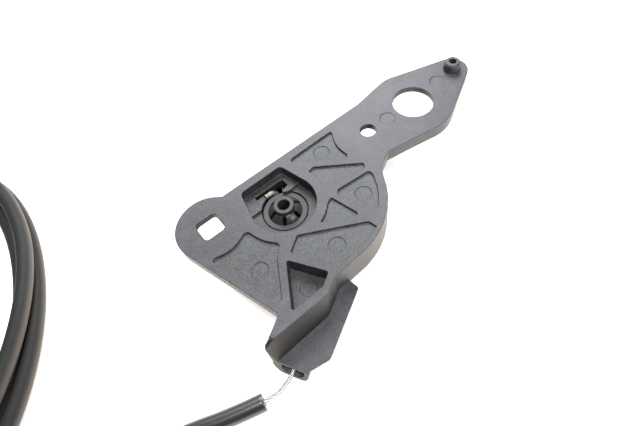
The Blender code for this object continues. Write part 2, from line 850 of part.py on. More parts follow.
def make_spring(finish):
    """The torsion spring round the lever's barrel: its hook stands in the window, its tail on the lever."""
    low = LEVER_TOP + SPRING_WIRE / 2 + GAP
    pitch = SPRING_WIRE + 0.15
    hook_y = 9.6
    hook_z = SHELF_Z - 1.2
    start = 76.0
    steps = round(SPRING_TURNS * 30)
    high = FLOOR_LOW - GAP - SPRING_WIRE / 2
    turns = []
    for k in range(steps + 1):
        share = k / steps
        x, y = polar(SPRING_RADIUS, start - 360 * SPRING_TURNS * share)
        turns.append((x, y, max(low, high - pitch * SPRING_TURNS * share)))
    hook = [(-2.1, hook_y, hook_z), (-0.6, hook_y, hook_z), (0.8, hook_y, hook_z - 0.1), (1.6, hook_y - 0.1, hook_z - 0.5)]
    hook += [(2.0, hook_y - 0.3, hook_z - 1.3), (2.15, 8.95, hook_z - 2.4), (2.2, 8.84, high + 0.9)]
    end = Vector(turns[-1])
    out = Vector((end.x, end.y, 0.0)).normalized()
    ahead = Vector((out.y, -out.x, 0.0))
    tail = [tuple(end + ahead * 1.6 + out * 0.7), tuple(end + ahead * 2.6 + out * 2.2), tuple(end + ahead * 3.0 + out * 6.0)]
    return rod("return_spring", hook + turns[1:] + tail, SPRING_WIRE / 2, finish)


def make_wires(finish):
    """The inner wire: round the sector, through the tunnel and bare to where the sheath has drawn back."""
    tangent = CABLE_ANGLE - 90
    start = NIPPLE_ANGLE - math.degrees((NIPPLE_RADIUS + GAP) / CABLE_RADIUS)
    steps = round((start - tangent) / 3)
    wrap = [
        (*polar(CABLE_RADIUS, start + (tangent - start) * k / steps), WIRE_Z) for k in range(steps + 1)
    ]
    rod("sector_wire", wrap, WIRE / 2, finish)
    reach = math.hypot(*MOUTH)
    straight = math.sqrt(reach**2 - CABLE_RADIUS**2)
    first = straight - GAP
    points = [(*at_mouth(first * (1 - k / 12), 0.0), WIRE_Z) for k in range(13)]
    end = Vector(LEAD_ROUTE[0])
    last = end - (end - Vector(at_mouth(-9.0, 2.05))).normalized() * GAP
    bow = [(-2.2, 0.0), (-4.0, 0.25), (-6.5, 0.95), (-9.0, 2.05)]
    points += [(*at_mouth(along, side), WIRE_Z) for along, side in bow] + [(*last, WIRE_Z)]
    rod("bare_wire", points, WIRE / 2, finish)


def coil_frame():
    """Takes a place measured from the coil's centre and along its length to the bench."""
    return Matrix.Translation((*COIL_CENTRE, 0.0)) @ Matrix.Rotation(math.radians(COIL_TURN), 4, "Z")


def coil_place():
    """Stands the coil on the bench on one side and on its tie on the other, so it leans by a hair."""
    rim = COIL_HALF_WIDE + SHEATH * (COIL_ROWS / 2 - 0.3)
    lean = math.asin(COIL_LIFT / (2 * rim))
    height = Matrix.Translation((0.0, 0.0, rim * math.sin(lean)))
    return coil_frame() @ height @ Matrix.Rotation(lean, 4, "Y")


def oval(offset, z, steps=72):
    """The coil's middle line, moved out by offset."""
    ring = []
    for k in range(steps):
        x, y = polar(1.0, 360 * k / steps)
        out = Vector((x * COIL_HALF_LONG, y * COIL_HALF_WIDE)).normalized() * offset
        ring.append((x * COIL_HALF_WIDE + out.x, y * COIL_HALF_LONG + out.y, z))
    return ring


def make_sheath(jacket):
    """The sheath: its stretch from the bracket, the coil as one closed ring, and its end inside the coil."""
    route = [(*point, SHEATH / 2) for point in LEAD_ROUTE]
    rod("cable_sheath", smooth_route(route, 2.5 * SHEATH), SHEATH / 2, jacket, 3)
    wide = SHEATH * COIL_ROWS / 2
    high = SHEATH * COIL_LAYERS
    edge = SHEATH * 0.3
    profile = [
        (edge - wide, 0.0),
        (wide - edge, 0.0),
        (wide, edge),
        (wide, high - edge),
        (wide - edge, high),
        (edge - wide, high),
        (-wide, high - edge),
        (-wide, edge),
    ]
    hoop("cable_coil", [oval(offset, z) for offset, z in profile], jacket, coil_place())
    tail = [tuple(coil_frame() @ Vector(point)) for point in TAIL_ROUTE]
    rod("sheath_tail", smooth_route(tail, 1.1 * SHEATH), SHEATH / 2, jacket, 3)


def make_tie(finish):
    """The tie round the coil's turns at the middle of a long side, with its ratchet head on the outside."""
    place = coil_place() @ Matrix.Rotation(math.pi, 4, "Z")
    wide = SHEATH * COIL_ROWS / 2
    high = SHEATH * COIL_LAYERS

    def loop(space, side):
        left, right = COIL_HALF_WIDE - wide - space, COIL_HALF_WIDE + wide + space
        corners = [(left, -space), (right, -space), (right, high + space), (left, high + space)]
        return [(x, side, y) for x, y in rounded([(*corner, 2.0 + space) for corner in corners])]

    near, far = GAP, GAP + TIE_THICK
    half = TIE_WIDTH / 2
    loops = [loop(near, -half), loop(far, -half), loop(far, half), loop(near, half)]
    tie = hoop("coil_tie", loops, finish, place)
    start = COIL_HALF_WIDE + wide + far - 0.5
    corners = [(start, -3.3), (start + 4.2, -3.3), (start + 4.2, 3.3), (start, 3.3)]
    rings = [[tuple(place @ Vector((x, y, z))) for x, y in corners] for z in (3.4, 8.0)]
    join(tie, loft("tie_head_form", rings))


def make_latch_end(finish, wire_finish, zinc):
    """The fitting that clips in at the latch, with the wire and nipple that come out of it."""
    x, y, z = TAIL_ROUTE[-1]
    back = Vector((x, y + GAP, z))
    place = coil_frame() @ Matrix.Translation(back) @ Matrix.Rotation(math.radians(-90), 4, "X")
    nose = CONNECTOR_LONG
    bore = WIRE / 2 + 0.6
    turned(
        "end_fitting",
        [
            (bore, 0.0),
            (4.3, 0.0),
            (4.7, 0.4),
            (4.7, 9.5),
            (4.0, 10.2),
            (4.0, 12.0),
            (CONNECTOR_RADIUS, 12.0),
            (CONNECTOR_RADIUS, 14.0),
            (4.0, 14.0),
            (4.0, 16.0),
            (4.9, 16.0),
            (4.9, 17.0),
            (3.4, 23.0),
            (2.8, 23.4),
            (2.8, nose - 0.5),
            (2.3, nose),
            (bore, nose),
        ],
        finish,
        40,
        place,
    )
    start = nose - 3.5
    end = nose + LATCH_WIRE_OUT
    points = [coil_frame() @ Vector((x, back.y + start + (end - start) * k / 10, z)) for k in range(11)]
    rod("latch_wire", [tuple(point) for point in points], WIRE / 2, wire_finish)
    centre = coil_frame() @ Vector((x, back.y + end + GAP + NIPPLE_RADIUS, z))
    make_nipple("latch_nipple", centre.xy, centre.z, zinc)


def main():
    clear_scene()
    moulded = material("moulded_nylon", (0.23, 0.24, 0.25), 0.62)
    smooth = material("smooth_acetal", (0.19, 0.2, 0.21), 0.34)
    steel = material("spring_steel", (0.52, 0.48, 0.43), 0.3, 1.0)
    zinc = material("cast_zinc", (0.6, 0.59, 0.57), 0.38, 1.0)
    galvanised = material("galvanised_wire", (0.66, 0.67, 0.68), 0.35, 1.0)
    jacket = material("black_jacket", (0.045, 0.045, 0.05), 0.45)
    make_bracket(moulded)
    make_hub(smooth)
    make_lever(smooth)
    make_nipple("lever_nipple", polar(CABLE_RADIUS - 0.8, NIPPLE_ANGLE), WIRE_Z, zinc)
    make_spring(steel)
    make_wires(galvanised)
    make_sheath(jacket)
    make_tie(smooth)
    make_latch_end(smooth, galvanised, zinc)


main()
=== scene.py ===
# %% [markdown]
# # Hood release cable
# The part is a moulded bracket with a pull lever behind it, and a sheathed cable that leaves through the
# bracket's corner and is wound up beside it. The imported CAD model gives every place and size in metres.
# This lesson dresses it: it redraws the cords at full detail, rounds the mouldings' edges and gives each
# piece a finish of its own.

# %% Load the frame
import math

import bmesh
import bpy
from mathutils import Matrix, Vector


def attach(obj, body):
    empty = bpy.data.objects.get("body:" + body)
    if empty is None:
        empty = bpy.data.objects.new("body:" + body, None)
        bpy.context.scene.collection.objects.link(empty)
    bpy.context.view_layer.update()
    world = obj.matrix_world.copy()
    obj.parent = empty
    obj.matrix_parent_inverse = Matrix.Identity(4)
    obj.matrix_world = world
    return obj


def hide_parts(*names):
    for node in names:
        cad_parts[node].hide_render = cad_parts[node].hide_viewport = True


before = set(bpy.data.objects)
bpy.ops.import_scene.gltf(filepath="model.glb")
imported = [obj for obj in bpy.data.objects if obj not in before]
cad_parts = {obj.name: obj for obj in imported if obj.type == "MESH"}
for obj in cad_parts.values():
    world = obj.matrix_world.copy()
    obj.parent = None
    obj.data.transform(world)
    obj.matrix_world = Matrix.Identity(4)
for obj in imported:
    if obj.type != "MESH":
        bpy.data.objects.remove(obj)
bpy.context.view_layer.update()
MM = 0.001
scene = bpy.context.scene
print("CAD nodes:", sorted(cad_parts))

# %% [markdown]
# ## The camera
# A photograph of a flat part is matched best by solving the camera from the part's own edges. The plate's
# straight edge, its round ends and the depth of its walls give one pose and one focal length. The three
# axes below are the result: where the picture's right, its top and the viewer lie in the part's frame.

# %% Camera
PICTURE = (640, 426)
FOCAL_PIXELS = 454.9
CAMERA_PLACE = (-0.0347, -0.0851, 0.1503)
camera_data = bpy.data.cameras.new("view_from_above")
camera_data.sensor_width = 36.0
camera_data.lens = FOCAL_PIXELS / PICTURE[0] * camera_data.sensor_width
camera_data.clip_start = 0.005
camera = bpy.data.objects.new("view_from_above", camera_data)
right = Vector((0.7700, -0.6295, -0.1041))
up = Vector((0.5800, 0.6225, 0.5253))
back = right.cross(up).normalized()
camera_axes = Matrix((right, up, back)).transposed()
camera.matrix_world = Matrix.Translation(CAMERA_PLACE) @ camera_axes.to_4x4()
scene.collection.objects.link(camera)
scene.camera = camera
print("lens", round(camera_data.lens, 2), "mm")

# %% [markdown]
# ## Light
# The part lies on a white table. A broad panel hangs beyond its far side, and a smaller one almost
# overhead. The broad one lights the flat faces, more so at the arm's end, and leaves the pockets' walls
# that face the viewer dark. The table is so much paler than the plastic that it is burnt out in the
# picture and throws a soft, warm light up onto the outer walls. So the plastic is dark and the light is
# strong. A small lamp in front only draws a gleam on the hub. The wall behind the table is white to the
# camera and lights the part only as a dim tent.

# %% Lamps
def softbox(name, place, size, watts, colour):
    """A square area lamp that faces the part."""
    lamp = bpy.data.lights.new(name, "AREA")
    lamp.shape = "SQUARE"
    lamp.size = size
    lamp.energy = watts
    lamp.color = colour
    box = bpy.data.objects.new(name, lamp)
    box.location = place
    box.rotation_euler = (-Vector(place)).to_track_quat("-Z", "Y").to_euler()
    scene.collection.objects.link(box)
    print(name, watts, "W")


softbox("far_panel", (0.25, 0.40, 0.50), 0.50, 9.5, (0.96, 0.98, 1.0))
softbox("near_panel", (-0.03, -0.18, 0.94), 0.28, 7.0, (1.0, 0.98, 0.96))
softbox("small_lamp", (0.11, -0.46, 0.36), 0.10, 1.5, (0.88, 0.97, 1.0))
scene.view_settings.view_transform = "Standard"

# %% [markdown]
# The tent round the part is the world's background. A Mix node picks its colour by the kind of ray: white
# for the rays that come straight from the camera, a dim grey for those that light the part. A Mix node
# has sockets for each kind of data under the same names, so its two colours are reached by number, 6 and
# 7.

# %% Tent
world = bpy.data.worlds.new("tent")
scene.world = world
world.use_nodes = True
tent = world.node_tree.nodes["Background"]
rays = world.node_tree.nodes.new("ShaderNodeLightPath")
wall = world.node_tree.nodes.new("ShaderNodeMix")
wall.data_type = "RGBA"
wall.inputs[6].default_value = (0.186, 0.192, 0.2, 1.0)
wall.inputs[7].default_value = (1.0, 1.0, 1.0, 1.0)
world.node_tree.links.new(rays.outputs["Is Camera Ray"], wall.inputs[0])
world.node_tree.links.new(wall.outputs[2], tent.inputs["Color"])
print("tent:", len(world.node_tree.nodes), "nodes")

# %% [markdown]
# ## Writing materials as sums
# A material's node tree is a formula. The small class below wraps one socket and gives it Python's
# operators, so that a pattern reads as arithmetic. Each operator has its reflected form where a number
# may stand on the left.

# %% Sockets with operators
class Field:
    """A number that varies over a surface, joined to others with Python's operators."""

    def __init__(self, finish, socket):
        self.finish = finish
        self.socket = socket

    def maths(self, operation, *others):
        values = dict(enumerate((self, *others)))
        return self.finish.node("ShaderNodeMath", {"operation": operation}, values)

    def __add__(self, other):
        return self.maths("ADD", other)

    def __mul__(self, other):
        return self.maths("MULTIPLY", other)

    def __sub__(self, other):
        return self.maths("SUBTRACT", other)

    def __rsub__(self, other):
        return (self * -1.0) + other

    __radd__ = __add__
    __rmul__ = __mul__

    def band(self, low, high):
        """0 below low, 1 above high and a smooth step between them."""
        values = {"Value": self, "From Min": low, "From Max": high}
        return self.finish.node("ShaderNodeMapRange", {"interpolation_type": "SMOOTHSTEP"}, values)


# %% [markdown]
# A finish is one material. `Finish.node` makes every other kind of node: its settings first, then the
# values or links of its sockets. Four more methods make what most finishes need: noise of a given size, a
# mix of two colours, a relief of a given depth, and the distance from a point, which masks a finish to
# one place on a piece.

# %% A finish
class Finish:
    """One material: its Principled shader and the fields that drive it."""

    def __init__(self, name):
        self.material = bpy.data.materials.new(name)
        self.material.use_nodes = True
        self.tree = self.material.node_tree
        self.shader = self.tree.nodes["Principled BSDF"]
        self.place = self.node("ShaderNodeTexCoord", out="Object")

    def node(self, kind, settings=None, values=None, out=0):
        made = self.tree.nodes.new(kind)
        for key, value in (settings or {}).items():
            setattr(made, key, value)
        for key, value in (values or {}).items():
            if isinstance(value, Field):
                self.tree.links.new(value.socket, made.inputs[key])
            else:
                made.inputs[key].default_value = value
        return Field(self, made.outputs[out])

    def noise(self, size, detail=3.0, rough=0.55, at=None, stretch=(1.0, 1.0, 1.0)):
        """Noise from 0 to 1 whose blotches are about size metres across."""
        turned = self.node("ShaderNodeMapping", {}, {"Vector": at or self.place, "Scale": stretch})
        values = {"Vector": turned, "Scale": 0.5 / size, "Detail": detail, "Roughness": rough}
        return self.node("ShaderNodeTexNoise", {}, values)

    def blend(self, share, low, high):
        """A colour that goes from low to high as share goes from 0 to 1."""
        values = {0: share, 6: low if isinstance(low, Field) else (*low, 1.0)}
        values[7] = high if isinstance(high, Field) else (*high, 1.0)
        return self.node("ShaderNodeMix", {"data_type": "RGBA"}, values, out=2)

    def bump(self, height, depth):
        """Relief depth metres deep where height goes from 0 to 1."""
        values = {"Height": height, "Distance": depth, "Strength": 1.0}
        return self.node("ShaderNodeBump", {}, values)

    def distance(self, point):
        """How far a place is from a point."""
        values = {0: self.place, 1: point}
        return self.node("ShaderNodeVectorMath", {"operation": "DISTANCE"}, values, out="Value")

    def set(self, **sockets):
        """Sets or links the shader's sockets, named with _ for a space."""
        for key, value in sockets.items():
            socket = self.shader.inputs[key.replace("_", " ")]
            if isinstance(value, Field):
                self.tree.links.new(value.socket, socket)
            elif isinstance(value, tuple):
                socket.default_value = (*value, 1.0)
            else:
                socket.default_value = value
        return self.material


# %% [markdown]
# ## The table
# The table is a plain white sheet. Its warm white tints what it throws back. For rays from the camera it
# glows a little, which lifts the shadow under the part as a bright table does. Mirrored rays see a warmer
# glow, which is the table's burnt-out white in the gloss of the walls that stand on it.

# %% Table
def table_finish():
    finish = Finish("white_table")
    seen = finish.node("ShaderNodeLightPath", out="Is Camera Ray")
    mirrored = finish.node("ShaderNodeLightPath", out="Is Glossy Ray")
    glow = finish.blend(mirrored, (0.0, 0.0, 0.0), (1.5, 1.27, 1.06))
    glow = finish.blend(seen, glow, (0.6, 0.6, 0.6))
    return finish.set(
        Base_Color=(0.92, 0.87, 0.81), Roughness=0.7, Emission_Color=glow, Emission_Strength=1.0
    )


floor_mesh = bpy.data.meshes.new("table_top")
TABLE_HALF, TABLE_TOP = 3.0, -0.0003
corners = [(x * TABLE_HALF, y * TABLE_HALF, TABLE_TOP) for x, y in ((-1, -1), (1, -1), (1, 1), (-1, 1))]
floor_mesh.from_pydata(corners, [], [(0, 1, 2, 3)])
floor_mesh.materials.append(table_finish())
floor = bpy.data.objects.new("table_top", floor_mesh)
scene.collection.objects.link(floor)
print("table:", [round(side, 1) for side in floor.dimensions], "m")

# %% [markdown]
# ## The cable's route
# A Bowden cable is stiff, so it lies in wide curves. Its route is two short lists of given points and a
# coil between them: out of the bracket, into an oval, nearly three turns round and out again on the
# inside. A stack of turns needs a plan, or they run through each other. Each turn here moves to its next
# place in the stack, outside or inside, low or high, before the one below needs the room.

# %% The route's sizes
SHEATH = 5.7 * MM
WIRE = 1.5 * MM
COIL_CENTRE = (-0.134, 0.058, 0.0)
COIL_TURN = -20.0
HALF_WIDE, HALF_LONG = 46.3 * MM, 74.3 * MM
COIL_LIFT = 1.6 * MM
LEAD_ROUTE = [
    (-44.3, -45.3),
    (-50.5, -43.5),
    (-57.5, -41.2),
    (-66.0, -38.0),
    (-76.0, -34.8),
    (-88.0, -31.6),
    (-100.5, -28.7),
    (-113.0, -25.9),
    (-125.3, -23.1),
    (-137.5, -20.4),
]
TAIL_ROUTE = [
    (8.4, -63.4, 4.3),
    (0.5, -65.0, 4.2),
    (-7.9, -63.1, 4.2),
    (-14.8, -57.9, 4.4),
    (-18.5, -51.2, 4.8),
    (-19.5, -45.0, 5.3),
    (-19.5, -39.0, 5.6),
    (-19.5, -33.0, 5.6),
]
OUTER, INNER = SHEATH / 2, -SHEATH / 2
LOW, HIGH = SHEATH / 2, SHEATH * 1.5
# Degrees travelled clockwise round the coil, with the place in the stack there
STACK = [
    (0, OUTER, LOW),
    (316, OUTER, LOW),
    (352, OUTER, HIGH),
    (612, OUTER, HIGH),
    (684, INNER, HIGH),
    (880, INNER, HIGH),
    (940, INNER, LOW),
    (1040, INNER, LOW),
]
COIL_START = -86.0
coil_frame = Matrix.Translation(COIL_CENTRE) @ Matrix.Rotation(math.radians(COIL_TURN), 4, "Z")
print("coil:", round(STACK[-1][0] / 360, 2), "turns")

# %% [markdown]
# ## Places in the coil
# The turns come from a formula: a place on the oval, moved outwards and upwards by the plan. The moves
# are eased, so that the cable climbs gently. One side of the coil stands on its tie, so the whole coil
# leans a little.

# %% Coil
def eased(share):
    return share * share * (3 - 2 * share)


def coil_point(turn, offset, height):
    """A place in the coil, turn degrees round it."""
    x, y = math.cos(math.radians(turn)), math.sin(math.radians(turn))
    outwards = Vector((x * HALF_LONG, y * HALF_WIDE)).normalized() * offset
    rim = HALF_WIDE + SHEATH * 0.7
    lean = COIL_LIFT / (2 * rim)
    place = Vector((x * HALF_WIDE + outwards.x, y * HALF_LONG + outwards.y, 0.0))
    place.z = height + (rim - place.x) * lean
    return coil_frame @ place


def coil_points(step=10.0):
    points = []
    travelled = STACK[0][0]
    while travelled <= STACK[-1][0]:
        for (start, near, low), (end, far, high) in zip(STACK, STACK[1:]):
            if start <= travelled <= end:
                share = eased((travelled - start) / (end - start))
                offset, height = near + (far - near) * share, low + (high - low) * share
        points.append(coil_point(COIL_START - travelled, offset, height))
        travelled += step
    return points


print("coil points:", len(coil_points()))

# %% [markdown]
# ## Joining the route
# A Catmull-Rom curve goes through every point of a list and bends smoothly between them, which suits
# places that were read off one by one. The same function serves the sheath, the bare wire and the spring.

# %% Smooth route
def smooth_route(points, steps):
    """Points on the curve through a route, with steps between each two of its own."""
    ends = [points[0], *points, points[-1]]
    fine = []
    for before, start, end, after in zip(ends, ends[1:], ends[2:], ends[3:]):
        pull = 2 * before - 5 * start + 4 * end - after
        bend = 3 * start - before - 3 * end + after
        for u in (k / steps for k in range(steps)):
            fine.append(0.5 * (2 * start + (end - before) * u + pull * u**2 + bend * u**3))
    fine.append(points[-1].copy())
    return fine


def path_length(points):
    return sum((after - before).length for before, after in zip(points, points[1:]))


lead = [Vector((x * MM, y * MM, SHEATH / 2)) for x, y in LEAD_ROUTE]
tail = [coil_frame @ (Vector(point) * MM) for point in TAIL_ROUTE]
sheath_path = smooth_route(lead + coil_points() + tail, 4)
print("sheath", round(path_length(sheath_path), 3), "m")

# %% [markdown]
# ## A tube along a path
# The jacket is an extruded tube: round all along, with a bore at each end that the wire comes out of. A
# curve with a bevel would make the tube, but not the bored ends. Sweeping a section along the path by
# hand does both, keeps the tube from twisting and gives it a UV map, one direction along the cable and
# one round it. First come the rings.

# %% Rings along a path
def path_frames(path):
    """The direction at each point, with two others square to it that don't twist along the path."""
    frames = []
    side = None
    for i, point in enumerate(path):
        ahead = (path[min(i + 1, len(path) - 1)] - path[max(i - 1, 0)]).normalized()
        if side is None:
            side = ahead.cross(Vector((0.0, 0.0, 1.0))).normalized()
        side = (side - ahead * side.dot(ahead)).normalized()
        frames.append((point, ahead, side, ahead.cross(side)))
    return frames


def tube_rings(path, radius, ends):
    """Each ring's centre, two directions, radius and distance along. ends is as for sweep."""
    frames = path_frames(path)
    rings = []
    point, ahead, side, top = frames[0]
    for back_by, size in ends:
        rings.append((point + ahead * back_by, side, top, size, 0.0))
    run = 0.0
    for (before, *_), (point, ahead, side, top) in zip(frames, frames[1:-1]):
        run += (point - before).length
        rings.append((point, side, top, radius, run))
    point, ahead, side, top = frames[-1]
    for back_by, size in reversed(ends):
        rings.append((point - ahead * back_by, side, top, size, run))
    return rings


# %% [markdown]
# The rings are joined into a closed tube. Each face gets its UV corners as it is made. The normals are
# turned outwards at the end, and sharp corners at the cut ends are marked, so that the rest can be shaded
# smooth.

# %% Sweep
def sweep(name, path, radius, around=24, ends=()):
    """A tube along path. ends lists (distance, radius) steps of the near end, repeated at the far one."""
    shape = bmesh.new()
    uv = shape.loops.layers.uv.new("along")
    rows = []
    for point, side, top, size, run in tube_rings(path, radius, ends):
        turns = [2 * math.pi * k / around for k in range(around)]
        spokes = [side * math.cos(turn) + top * math.sin(turn) for turn in turns]
        rows.append(([shape.verts.new(point + spoke * size) for spoke in spokes], run))
    for (row, near), (after, far) in zip(rows, rows[1:]):
        for k in range(around):
            j = (k + 1) % around
            face = shape.faces.new((row[k], after[k], after[j], row[j]))
            for loop, u, v in zip(face.loops, (near, far, far, near), (k, k, k + 1, k + 1)):
                loop[uv].uv = (u, v / around)
    shape.faces.new(rows[0][0])
    shape.faces.new(list(reversed(rows[-1][0])))
    bmesh.ops.recalc_face_normals(shape, faces=shape.faces)
    mesh = bpy.data.meshes.new(name)
    shape.to_mesh(mesh)
    shape.free()
    mesh.shade_smooth()
    mesh.set_sharp_from_angle(angle=math.radians(40))
    piece = bpy.data.objects.new(name, mesh)
    scene.collection.objects.link(piece)
    print(name, len(mesh.polygons), "faces")
    return piece


# The jacket's cut end, from the bottom of its bore to its full radius
JACKET_ENDS = [
    (2.4 * MM, 1.25 * MM),
    (0.05 * MM, 1.3 * MM),
    (0.0, 1.45 * MM),
    (0.0, SHEATH / 2 - 0.3 * MM),
    (0.09 * MM, SHEATH / 2 - 0.09 * MM),
    (0.3 * MM, SHEATH / 2),
]
sheath = sweep("sheath_run", sheath_path, SHEATH / 2, 32, JACKET_ENDS)

# %% [markdown]
# ## Jacket finish
# The jacket is black PVC with a satin skin. Drawing it through the die leaves faint streaks along it, and
# handling leaves soft scuffs, so the roughness varies more than the colour does. The end by the bracket
# has been wiped and shines. The coil is dull with dust, and its colour is painted darker than the end's:
# painted shade. The outer side of its turns is painted pale and warm: a painted highlight of the light
# off
# the table. Both follow the UV map: its first direction says how far along the cable a place is, its
# second how far round. A thin coat keeps a clear rim on the wiped end, where the table is mirrored.

# %% Jacket
WIPED_TO, DUSTY_AND_SHADED_FROM = 0.08, 0.14
# Where round the coil's turns the painted highlight lies, and how far it spreads
PAINTED_LIGHT_SIDE, PAINTED_LIGHT_REACH = 0.43, 0.21


def jacket_finish():
    finish = Finish("satin_jacket")
    uv = finish.node("ShaderNodeTexCoord", out="UV")
    run = finish.node("ShaderNodeSeparateXYZ", {}, {0: uv})
    dusty_and_shaded = run.band(WIPED_TO, DUSTY_AND_SHADED_FROM)
    around = finish.node("ShaderNodeSeparateXYZ", {}, {0: uv}, out="Y")
    from_side = (around - PAINTED_LIGHT_SIDE).maths("ABSOLUTE")
    painted_rim_light = (1.0 - from_side.band(0.0, PAINTED_LIGHT_REACH)) * dusty_and_shaded
    streaks = finish.noise(0.02, 4.0, 0.6, uv, (0.5, 3.0, 1.0))
    scuffs = finish.noise(0.006, 4.0, 0.6)
    grain = finish.noise(0.0003, 2.0, 0.6)
    worn = scuffs.band(0.52, 0.75)
    # The coil's colour is painted darker than the wiped end's: painted shade, while its gloss is dulled
    # by dust
    low = finish.blend(dusty_and_shaded, (0.013, 0.013, 0.015), (0.002, 0.002, 0.002))
    high = finish.blend(dusty_and_shaded, (0.033, 0.033, 0.036), (0.006, 0.0055, 0.0055))
    colour = finish.blend(worn * 0.4 + streaks * 0.3, low, high)
    # The outer side of the coil's turns is painted pale and warm: a painted highlight
    colour = finish.blend(painted_rim_light, colour, (0.100, 0.088, 0.081))
    height = streaks * 0.2 + grain * 0.4
    return finish.set(
        Base_Color=colour,
        Roughness=0.31 + dusty_and_shaded * 0.44 + streaks * 0.06 + worn * 0.10 - painted_rim_light * 0.1,
        Coat_Weight=0.18 - dusty_and_shaded * 0.14,
        Coat_Roughness=0.24,
        Normal=finish.bump(height, 0.03 * MM),
    )


sheath.data.materials.append(jacket_finish())
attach(sheath, "base")
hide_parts("cable_sheath", "cable_coil", "sheath_tail")
print("jacket:", len(sheath.data.materials[0].node_tree.nodes), "nodes")

# %% [markdown]
# ## The inner wire
# The pull wire is a strand: six wires laid round a seventh. A section with six lobes, turned steadily as
# it runs along the path, gives the same ridges for a fraction of the faces. Geometry Nodes do this well,
# because the twist is a formula of the distance along the curve, and the lay and the lobes stay named
# inputs.

# %% The tree's inputs
STRAND_INPUTS = [
    ("Geometry", "NodeSocketGeometry", None),
    ("Radius", "NodeSocketFloat", WIRE / 2),
    ("Lay", "NodeSocketFloat", 13.0 * MM),
    ("Lobe depth", "NodeSocketFloat", 0.18 * MM),
    ("Spacing", "NodeSocketFloat", 0.3 * MM),
    ("Lobes", "NodeSocketInt", 6),
    ("Material", "NodeSocketMaterial", None),
]


def empty_tree(name, inputs):
    tree = bpy.data.node_groups.new(name, "GeometryNodeTree")
    for label, kind, value in inputs:
        socket = tree.interface.new_socket(label, in_out="INPUT", socket_type=kind)
        if value is not None:
            socket.default_value = value
    tree.interface.new_socket("Geometry", in_out="OUTPUT", socket_type="NodeSocketGeometry")
    return tree


# %% [markdown]
# The tree makes a circle, dents it between the lobes, and writes how deep each place lies as an
# attribute, so that the finish can paint shade into the grooves. Then it spaces points evenly along the
# path, tilts each by its distance along, and sweeps the section through them.

# %% Twisted strand tree
def strand_tree():
    tree = empty_tree("twisted_strand", STRAND_INPUTS)

    def node(kind, values=None, **settings):
        made = tree.nodes.new(kind)
        for key, value in settings.items():
            setattr(made, key, value)
        for key, value in (values or {}).items():
            if isinstance(value, bpy.types.NodeSocket):
                tree.links.new(value, made.inputs[key])
            else:
                made.inputs[key].default_value = value
        return made

    def maths(operation, first, second=0.0):
        return node("ShaderNodeMath", {0: first, 1: second}, operation=operation).outputs[0]

    given = node("NodeGroupInput").outputs
    circle = node("GeometryNodeCurvePrimitiveCircle", {"Resolution": 48, "Radius": given["Radius"]})
    share = node("GeometryNodeSplineParameter").outputs["Factor"]
    half_turn = maths("MULTIPLY", maths("MULTIPLY", share, math.pi), given["Lobes"])
    dip = maths("SUBTRACT", maths("ABSOLUTE", maths("COSINE", half_turn)), 1.0)
    inward = maths("DIVIDE", maths("MULTIPLY", dip, given["Lobe depth"]), given["Radius"])
    place = node("GeometryNodeInputPosition").outputs[0]
    shift = node("ShaderNodeVectorMath", {0: place, "Scale": inward}, operation="SCALE").outputs[0]
    section = node("GeometryNodeSetPosition", {"Geometry": circle.outputs[0], "Offset": shift}).outputs[0]
    marked = {"Geometry": section, "Name": "groove", "Value": maths("MULTIPLY", dip, -1.0)}
    section = node("GeometryNodeStoreNamedAttribute", marked).outputs[0]
    spaced = {"Curve": given["Geometry"], "Length": given["Spacing"]}
    path = node("GeometryNodeResampleCurve", spaced, mode="LENGTH")
    along = node("GeometryNodeSplineParameter").outputs["Length"]
    twist = maths("MULTIPLY", maths("DIVIDE", along, given["Lay"]), 2 * math.pi)
    laid = node("GeometryNodeSetCurveTilt", {"Curve": path.outputs[0], "Tilt": twist}).outputs[0]
    tube = {"Curve": laid, "Profile Curve": section, "Fill Caps": True}
    swept = node("GeometryNodeCurveToMesh", tube).outputs[0]
    smooth = node("GeometryNodeSetShadeSmooth", {"Geometry": swept}).outputs[0]
    real = node("GeometryNodeRealizeInstances", {"Geometry": smooth}).outputs[0]
    coated = node("GeometryNodeSetMaterial", {"Geometry": real, "Material": given["Material"]}).outputs[0]
    node("NodeGroupOutput", {0: coated})
    print("strand tree:", len(tree.nodes), "nodes")
    return tree


strand = strand_tree()

# %% [markdown]
# ## Running a tree once
# A modifier runs the tree on a plain curve. Its inputs are set by their identifiers, because the names on
# the panel are only labels. The evaluated result is kept as a mesh, and the curve is thrown away with its
# modifier.

# %% Tree to mesh
def tree_input(tree, name):
    return next(i.identifier for i in tree.interface.items_tree if i.name == name and i.in_out == "INPUT")


def as_mesh(source, name, tree, **inputs):
    """Runs a tree on source once and keeps the result as a plain mesh."""
    modifier = source.modifiers.new("grow", "NODES")
    modifier.node_group = tree
    for key, value in inputs.items():
        modifier[tree_input(tree, key.replace("_", " "))] = value
    bpy.context.view_layer.update()
    graph = bpy.context.evaluated_depsgraph_get()
    mesh = bpy.data.meshes.new_from_object(source.evaluated_get(graph))
    mesh.name = name
    bpy.data.objects.remove(source)
    piece = bpy.data.objects.new(name, mesh)
    scene.collection.objects.link(piece)
    return piece


def path_object(points):
    """A curve through points, for a tree to run on."""
    curve = bpy.data.curves.new("path", "CURVE")
    curve.dimensions = "3D"
    line = curve.splines.new("POLY")
    line.points.add(len(points) - 1)
    for target, point in zip(line.points, points):
        target.co = (*point, 1.0)
    made = bpy.data.objects.new("path", curve)
    scene.collection.objects.link(made)
    return made
